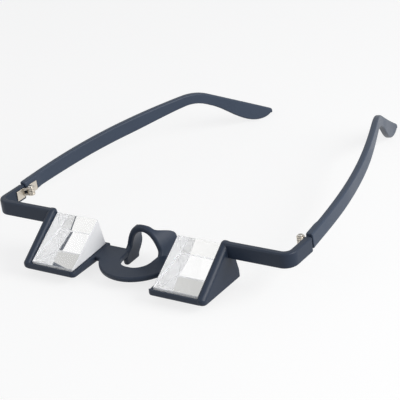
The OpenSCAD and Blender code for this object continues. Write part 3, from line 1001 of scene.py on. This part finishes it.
def leaf_seat(side):
    """The shallow pocket for a hinge plate, ahead of the hinge (-1) or behind it (+1)."""
    face = plate_face(side)
    near = HINGE_BACK + side * LEAF_GAP
    far = near + side * LEAF_LENGTH
    low, high = sorted((near, far))
    return block(
        "leaf_seat",
        (face - 2 * SPARE, low - SEAT, -BARREL_SINK - LEAF_HEIGHT - SEAT),
        (face + LEAF_INLAY + SEAT, high + SEAT, SEAT - BARREL_SINK),
    )


def front_moulding():
    """The left half and its mirror image, joined by the bridge plate and the saddle."""
    half = bar()
    combine(half, cheek())
    combine(half, cradle())
    combine(half, leaf_seat(-1), "DIFFERENCE")
    piece = turned_copy(half, "front_moulding")
    combine(piece, half)
    combine(piece, bridge_plate())
    combine(piece, saddle())
    weld(piece)
    smooth(piece)
    return piece


# Temples

ear_length = EAR_RADIUS * EAR_ANGLE
temple_length = EAR_START + ear_length + TIP_LENGTH
ear_end = Vector(
    (
        EAR_START + EAR_RADIUS * math.sin(EAR_ANGLE),
        ROOT_RISE + TEMPLE_CLIMB - EAR_RADIUS * (1 - math.cos(EAR_ANGLE)),
    )
)
temple_back = ear_end.x + TIP_LENGTH * math.cos(EAR_ANGLE)


def temple_edge(s):
    """Outer top edge of the left temple at the length s, in millimetres."""
    if s <= EAR_START:
        y = s
        z = ROOT_RISE + TEMPLE_CLIMB * (1 - (1 - max(s, 0) / EAR_START) ** CLIMB_BEND)
    elif s <= EAR_START + ear_length:
        turn = (s - EAR_START) / EAR_RADIUS
        y = EAR_START + EAR_RADIUS * math.sin(turn)
        z = ROOT_RISE + TEMPLE_CLIMB - EAR_RADIUS * (1 - math.cos(turn))
    else:
        past = s - EAR_START - ear_length
        y = ear_end.x + past * math.cos(EAR_ANGLE)
        z = ear_end.y - past * math.sin(EAR_ANGLE)
    t = max(y, 0) / temple_back
    early, middle, late = TUCK_WEIGHTS
    tuck = (
        early * 4 * (1 - t) ** 3 * t
        + middle * 6 * (1 - t) ** 2 * t**2
        + late * 4 * (1 - t) * t**3
        + t**4
    )
    return Vector((HALF_WIDTH - TEMPLE_TUCK * tuck, y, z))


def end_share(s, radius):
    """How much of the full size is left at the length s, where the tip ends in a round."""
    left = (temple_length - s) / radius
    return 1.0 if left >= 1 else math.sqrt(max(0.0, 1 - (1 - left) ** 2))


def temple_ring(s, inset=0.0, shift=0.0):
    """Section of the left temple at the length s, shrunk by inset and moved back by shift."""
    heading = (temple_edge(s + 0.5) - temple_edge(s - 0.5)).normalized()
    up = (Vector((0, 0, 1)) - heading.z * heading).normalized()
    inward = up.cross(heading)
    full = along(
        (
            (0, ROOT_HEIGHT),
            (ARM_START, ARM_HEIGHT),
            (ARM_END, ARM_HEIGHT),
            (WAIST_START, WAIST_HEIGHT),
            (WAIST_END, WAIST_HEIGHT),
            (temple_length - TIP_ROUND, PADDLE_HEIGHT),
        ),
        s,
    )
    height = max(full * end_share(s, TIP_ROUND), 2 * TIP_TOP_ROUND) - 2 * inset
    top_in = TIP_TOP_ROUND * (1 - end_share(s, TIP_TOP_ROUND))
    width = along(((ROOT_END, ROOT_THICKNESS), (THIN_START, ARM_THICKNESS)), s) - 2 * inset
    middle = (
        temple_edge(s)
        + inward * (width / 2 + inset)
        - up * ((height + top_in) / 2 + inset)
        + Vector((0, shift, 0))
    )
    outline = section(width, height - top_in, min(TEMPLE_EDGE, width / 2 - 0.1))
    return [at(*(middle + p.x * inward + p.y * up)) for p in outline]


def left_temple():
    """Temple: one skin from the rounded end at the hinge to the paddle's round tip."""
    rings = []
    for degrees in range(0, 91, 30):
        turn = math.radians(degrees)
        inset = ROOT_ROUND * (1 - math.sin(turn))
        shift = PARTING / 2 + ROOT_ROUND * (1 - math.cos(turn))
        rings.append(temple_ring(0, inset, shift))
    straight = temple_length - TIP_ROUND
    for k in range(1, TEMPLE_STEPS + 1):
        rings.append(temple_ring(max(1.0, straight * k / TEMPLE_STEPS)))
    for degrees in range(6, 91, 6):
        rings.append(temple_ring(straight + TIP_ROUND * math.sin(math.radians(degrees))))
    piece = loft("temple_moulding_left", rings)
    combine(piece, leaf_seat(1), "DIFFERENCE")
    smooth(piece)
    return piece


# Prisms


def left_prism():
    """Glass prism: a block cut by its slanted faces, with ground bevels on every edge."""
    piece = block(
        "glass_prism_left",
        (PRISM_INSET, PRISM_FRONT.y - SPARE, PRISM_FRONT.z - SPARE),
        (PRISM_INSET + PRISM_WIDTH, PRISM_REAR.y + SPARE, PRISM_TOP.z + SPARE),
    )
    cut_away(piece, at(*PRISM_REAR), -floor_normal)
    back = PRISM_TOP - PRISM_REAR
    cut_away(piece, at(*PRISM_REAR), (0, back.z, -back.y))
    face = PRISM_TOP - PRISM_FRONT
    cut_away(piece, at(*PRISM_FRONT), (0, -face.z, face.y))
    tip = (face.normalized() - floor_run).normalized()
    cut_away(piece, at(*(PRISM_FRONT + PRISM_TIP * tip)), -tip)
    soften(piece, PRISM_BEVEL, segments=1, angle=20)
    return piece


def ground_sides(piece, polished, ground):
    """Polishes the front, rear and silvered faces, and leaves sides and bevels ground."""
    piece.data.materials.clear()
    piece.data.materials.append(polished)
    piece.data.materials.append(ground)
    for face in piece.data.polygons:
        broad = face.area > POLISHED_AREA * MM * MM and abs(face.normal.x) < 0.5
        face.material_index = 0 if broad else 1


def left_coat():
    """Silver coat with its backing, a hair below the glass floor."""
    return floor_block(
        "coat_left",
        PRISM_INSET + COAT_MARGIN,
        PRISM_INSET + PRISM_WIDTH - COAT_MARGIN,
        COAT_MARGIN,
        PRISM_FLOOR - COAT_MARGIN,
        -COAT_THICKNESS,
        -COAT_AIR,
    )


# Hinges


def plate_face(side):
    """Inner face of the end piece (-1) or of the temple's root (+1)."""
    return HALF_WIDTH - (BAR_THICKNESS if side < 0 else ROOT_THICKNESS)


def knuckle(name, side, low, height):
    """A turned knuckle with the arm that joins it to its plate."""
    axis_x = HALF_WIDTH - HINGE_INSET
    middle = low + height / 2
    piece = rod(name, (axis_x, HINGE_BACK, middle), BARREL_D / 2, height)
    soften(piece, KNUCKLE_EDGE, segments=3, angle=50)
    plate_middle = plate_face(side) - LEAF_THICKNESS / 2
    reach = Vector((plate_middle - axis_x, side * (LEAF_GAP + ARM_BITE), 0))
    half = ARM_WIDTH / 2
    arm = block(
        "arm",
        (axis_x, HINGE_BACK - half, low + ARM_STEP),
        (axis_x + reach.length, HINGE_BACK + half, low + height - ARM_STEP),
    )
    soften(arm, KNUCKLE_EDGE, segments=3, angle=50)
    pivot = at(axis_x, HINGE_BACK, 0)
    turn = Matrix.Rotation(math.atan2(reach.y, reach.x), 4, "Z")
    arm.data.transform(Matrix.Translation(pivot) @ turn @ Matrix.Translation(-pivot))
    combine(piece, arm)
    bore_radius = SCREW_D / 2 + SCREW_GAP
    bore = rod("bore", (axis_x, HINGE_BACK, middle), bore_radius, height + SPARE, SCREW_SIDES)
    combine(piece, bore, "DIFFERENCE")
    return piece


def hinge_leaf(name, side, knuckles):
    """Stamped plate let into the plastic, with its knuckles given as (low, height)."""
    face = plate_face(side)
    near = HINGE_BACK + side * LEAF_GAP
    low_y, high_y = sorted((near, near + side * LEAF_LENGTH))
    piece = block(
        name,
        (face - LEAF_THICKNESS + LEAF_INLAY, low_y, -BARREL_SINK - LEAF_HEIGHT),
        (face + LEAF_INLAY, high_y, -BARREL_SINK),
    )
    soften(piece, LEAF_EDGE, segments=3, angle=50)
    for low, height in knuckles:
        combine(piece, knuckle("knuckle", side, low, height))
    smooth(piece)
    return piece


def hinge_screw(name):
    """Slotted screw with a domed head."""
    x, y = HALF_WIDTH - HINGE_INSET, HINGE_BACK
    middle = -BARREL_SINK - BARREL_HEIGHT / 2
    piece = rod(name, (x, y, middle), SCREW_D / 2, BARREL_HEIGHT, SCREW_SIDES)
    head = rod("head", (x, y, SCREW_HEAD_H / 2 - BARREL_SINK), SCREW_HEAD_D / 2, SCREW_HEAD_H)
    top = at(0, 0, SCREW_HEAD_H - BARREL_SINK).z
    bevel_where(
        head,
        lambda edge: all(abs(v.co.z - top) < ON_TOP for v in edge.verts),
        SCREW_HEAD_EDGE,
        segments=4,
    )
    slot_low = SCREW_HEAD_H - BARREL_SINK - SLOT_DEPTH
    slot = block(
        "slot",
        (x - 2 * SPARE, y - SLOT_WIDTH / 2, slot_low),
        (x + 2 * SPARE, y + SLOT_WIDTH / 2, slot_low + SPARE),
    )
    combine(head, slot, "DIFFERENCE")
    combine(piece, head)
    smooth(piece)
    return piece


def dress(piece, body, slot, nodes, *mats):
    """Gives a piece its materials and its body, and hides the nodes that it replaces. The slot is
    not used.
    """
    if mats:
        piece.data.materials.clear()
        for mat in mats:
            piece.data.materials.append(mat)
    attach(piece, body)
    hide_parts(*nodes)


mould_texture = mould_texture_group()
brushed_metal = brushed_group()
# One navy plastic in two copies: the front's colour is painted darker for the shade on its front
# faces, and the temples' colour is painted lighter for the light on their outer sides.
front_plastic = moulded_plastic("front_plastic", (0.021, 0.032, 0.055), (0.027, 0.040, 0.068))
temple_plastic = moulded_plastic("temple_plastic", (0.041, 0.058, 0.092), (0.050, 0.070, 0.108))
nickel = hinge_metal("nickel_silver", (0.60, 0.55, 0.48), (0.70, 0.65, 0.57), rough=0.32)
steel = hinge_metal("screw_steel", (0.55, 0.53, 0.50), (0.66, 0.64, 0.60), rough=0.24)
polished_glass = optical_glass(
    "polished_glass", roughness=0.0, clear=1.0, colour=(1.0, 1.0, 1.0)
)
ground_glass = optical_glass(
    "ground_glass", roughness=0.9, clear=0.0, colour=(0.89, 0.90, 0.92)
)
# the ground glass gets a painted white glow on its inner side
painted_inner_glow(ground_glass)
silver = silver_coat()

photo_camera()
studio()
floor()

dress(front_moulding(), "front", "front_plastic", ["front_frame"], front_plastic)

left = left_temple()
right = turned_copy(left, "temple_moulding_right")
smooth(right)
dress(left, "left_temple", "temple_plastic", ["temple_left"], temple_plastic)
dress(right, "right_temple", "temple_plastic", ["temple_right"], temple_plastic)

glass_left = left_prism()
glass_right = turned_copy(glass_left, "glass_prism_right")
for glass, node in ((glass_left, "prism_left"), (glass_right, "prism_right")):
    ground_sides(glass, polished_glass, ground_glass)
    dress(glass, "front", "prism_glass", [node])

coat_left = left_coat()
coat_right = turned_copy(coat_left, "coat_right")
dress(coat_left, "front", "silver_coat", ["mirror_coat_left"], silver)
dress(coat_right, "front", "silver_coat", ["mirror_coat_right"], silver)

side_height = (BARREL_HEIGHT - KNUCKLE_HEIGHT) / 2 - KNUCKLE_GAP
barrel_low = -BARREL_SINK - BARREL_HEIGHT
front_leaf = hinge_leaf(
    "hinge_leaf_front_left",
    -1,
    ((barrel_low, side_height), (-BARREL_SINK - side_height, side_height - KNUCKLE_SHORT)),
)
temple_leaf = hinge_leaf(
    "hinge_leaf_temple_left",
    1,
    ((barrel_low + (BARREL_HEIGHT - KNUCKLE_HEIGHT) / 2, KNUCKLE_HEIGHT),),
)
screw = hinge_screw("screw_left")
for piece, right_name, node, body, slot, mat in (
    (front_leaf, "hinge_leaf_front_right", "hinge_front_leaf", "front", "hinge_metal", nickel),
    (temple_leaf, "hinge_leaf_temple_right", "hinge_temple_leaf", "temple", "hinge_metal", nickel),
    (screw, "screw_right", "hinge_screw", "front", "screw_metal", steel),
):
    other = turned_copy(piece, right_name)
    smooth(other)
    for half, side in ((piece, "left"), (other, "right")):
        rides_on = body if body == "front" else f"{side}_{body}"
        dress(half, rides_on, slot, [f"{node}_{side}"], mat)
